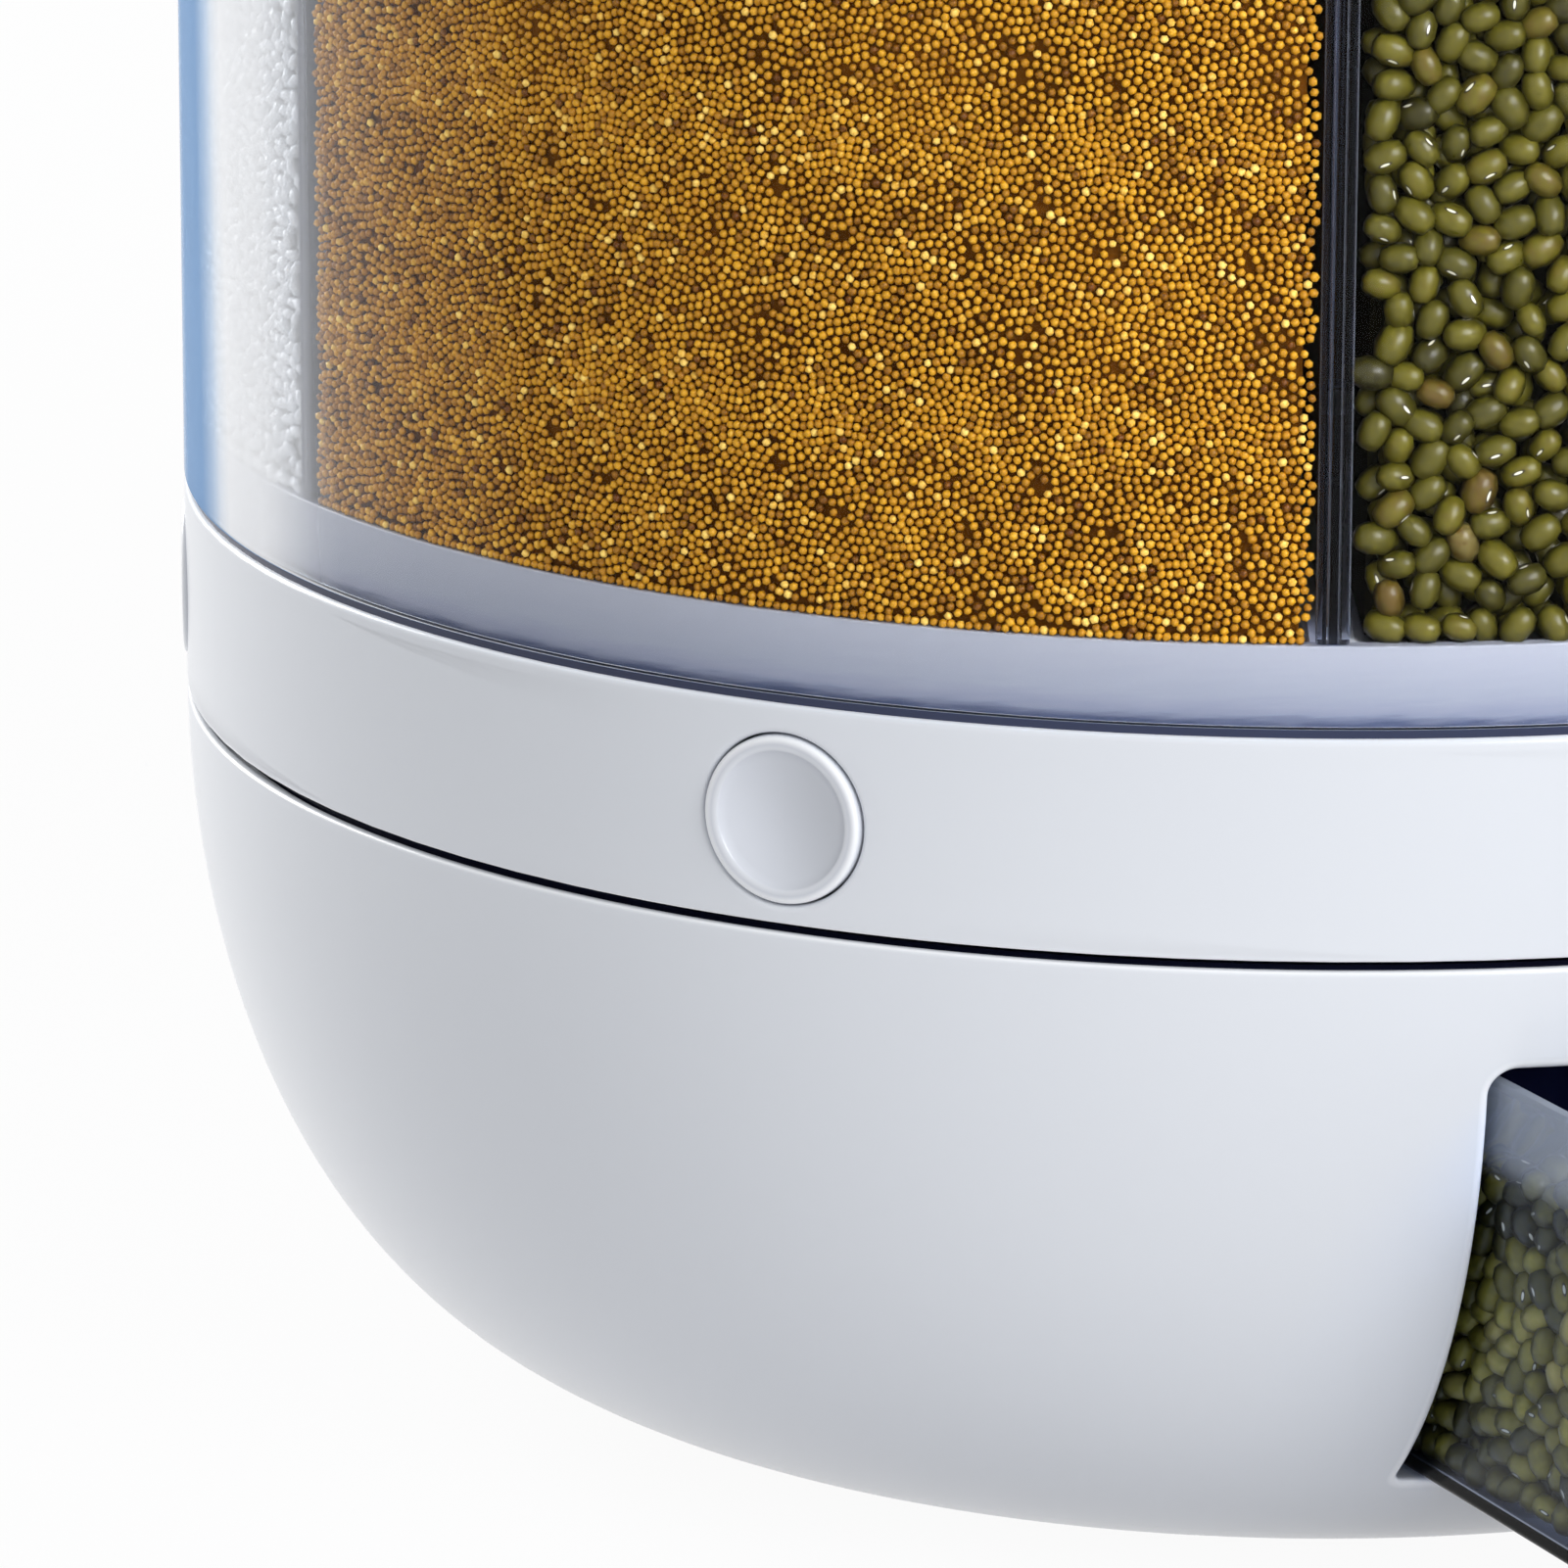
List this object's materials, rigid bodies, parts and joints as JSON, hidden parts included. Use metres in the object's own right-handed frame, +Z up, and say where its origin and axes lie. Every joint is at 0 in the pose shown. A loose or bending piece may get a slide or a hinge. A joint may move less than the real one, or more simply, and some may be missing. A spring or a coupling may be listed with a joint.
{
  "type": "rotating grain dispenser",
  "caption": "Round clear bin with compartments that turns on a bowl-shaped base; push buttons open shutters that drop grain into a pull-out cup.",
  "frame": {"origin": "on the drum's turning axis, at the level of the surface it stands on", "axes": "+Z up along the turning axis, -Y towards the cup at the front"},
  "size_m": [0.28, 0.3137, 0.3186],
  "materials": {
    "white_plastic": "smooth satin white",
    "dark_plastic": "dark blue-black, smooth",
    "clear_plastic": "clear with a slight blue tint",
    "smoky_plastic": "clear smoky grey-blue",
    "grey_plastic": "pale grey, matt",
    "bearing_plastic": "natural, waxy",
    "seal_rubber": "matt",
    "zinc_steel": "zinc plated"
  },
  "bodies": {
    "base": {"bowl_shell": "white_plastic", "bottom_plate": "grey_plastic", "rubber_feet": "seal_rubber", "cup_bay": "dark_plastic", "base_deck": "dark_plastic", "outlet_chute": "dark_plastic", "glide_ring": "bearing_plastic", "spindle": "dark_plastic", "spindle_washer": "zinc_steel", "spindle_screw": "zinc_steel", "spindle_fixings": "zinc_steel", "deck_screws": "zinc_steel", "bay_screws": "zinc_steel", "bottom_screws": "zinc_steel"},
    "drum": {"button_ring": "white_plastic", "hopper_floor": "white_plastic", "hub_bush": "bearing_plastic", "gate_tray": "grey_plastic", "barrel": "clear_plastic", "barrel_seal": "seal_rubber", "divider_plates": "clear_plastic", "divider_hub": "clear_plastic", "tray_screws": "zinc_steel", "ring_screws": "zinc_steel", "button_spring_1": "zinc_steel", "button_spring_2": "zinc_steel", "button_spring_3": "zinc_steel", "button_spring_4": "zinc_steel", "button_spring_5": "zinc_steel", "button_spring_6": "zinc_steel", "funnel_1": "white_plastic", "funnel_2": "white_plastic", "funnel_3": "white_plastic", "funnel_4": "white_plastic", "funnel_5": "white_plastic", "funnel_6": "white_plastic"},
    "shutter_1": {"button_1": "white_plastic", "gate_1": "grey_plastic"},
    "shutter_2": {"button_2": "white_plastic", "gate_2": "grey_plastic"},
    "shutter_3": {"button_3": "white_plastic", "gate_3": "grey_plastic"},
    "shutter_4": {"button_4": "white_plastic", "gate_4": "grey_plastic"},
    "shutter_5": {"button_5": "white_plastic", "gate_5": "grey_plastic"},
    "shutter_6": {"button_6": "white_plastic", "gate_6": "grey_plastic"},
    "cup": {"measuring_cup": "smoky_plastic"},
    "lid": {"lid_cover": "white_plastic", "lid_liner": "grey_plastic", "lid_gasket": "seal_rubber"},
    "knob": {"lid_knob": "white_plastic", "drying_box": "grey_plastic"}
  },
  "joints": [
    {"name": "drum_spin", "type": "hinge", "parent": "base", "child": "drum", "pos_m": [0, 0, 0.1], "axis": [0, 0, 1], "continuous": true},
    {"name": "button_press_1", "type": "slide", "parent": "drum", "child": "shutter_1", "axis": [-0.0682, 0.9977, 0], "range_m": [0, 0.0095], "stiffness_N_per_m": 300, "springref_m": -0.01, "deforming": ["button_spring_1"]},
    {"name": "button_press_2", "type": "slide", "parent": "drum", "child": "shutter_2", "axis": [-0.8981, 0.4398, 0], "range_m": [0, 0.0095], "stiffness_N_per_m": 300, "springref_m": -0.01, "deforming": ["button_spring_2"]},
    {"name": "button_press_3", "type": "slide", "parent": "drum", "child": "shutter_3", "axis": [-0.8299, -0.5579, 0], "range_m": [0, 0.0095], "stiffness_N_per_m": 300, "springref_m": -0.01, "deforming": ["button_spring_3"]},
    {"name": "button_press_4", "type": "slide", "parent": "drum", "child": "shutter_4", "axis": [0.0682, -0.9977, 0], "range_m": [0, 0.0095], "stiffness_N_per_m": 300, "springref_m": -0.01, "deforming": ["button_spring_4"]},
    {"name": "button_press_5", "type": "slide", "parent": "drum", "child": "shutter_5", "axis": [0.8981, -0.4398, 0], "range_m": [0, 0.0095], "stiffness_N_per_m": 300, "springref_m": -0.01, "deforming": ["button_spring_5"]},
    {"name": "button_press_6", "type": "slide", "parent": "drum", "child": "shutter_6", "axis": [0.8299, 0.5579, 0], "range_m": [0, 0.0095], "stiffness_N_per_m": 300, "springref_m": -0.01, "deforming": ["button_spring_6"]},
    {"name": "cup_slide", "type": "slide", "parent": "base", "child": "cup", "axis": [0, -1, 0], "range_m": [0, 0.13]},
    {"name": "lid_lift", "type": "slide", "parent": "drum", "child": "lid", "axis": [0, 0, 1], "range_m": [0, 0.06]},
    {"name": "knob_twist", "type": "hinge", "parent": "lid", "child": "knob", "pos_m": [0, 0, 0.31], "axis": [0, 0, 1], "range_deg": [0, 45]}
  ]
}
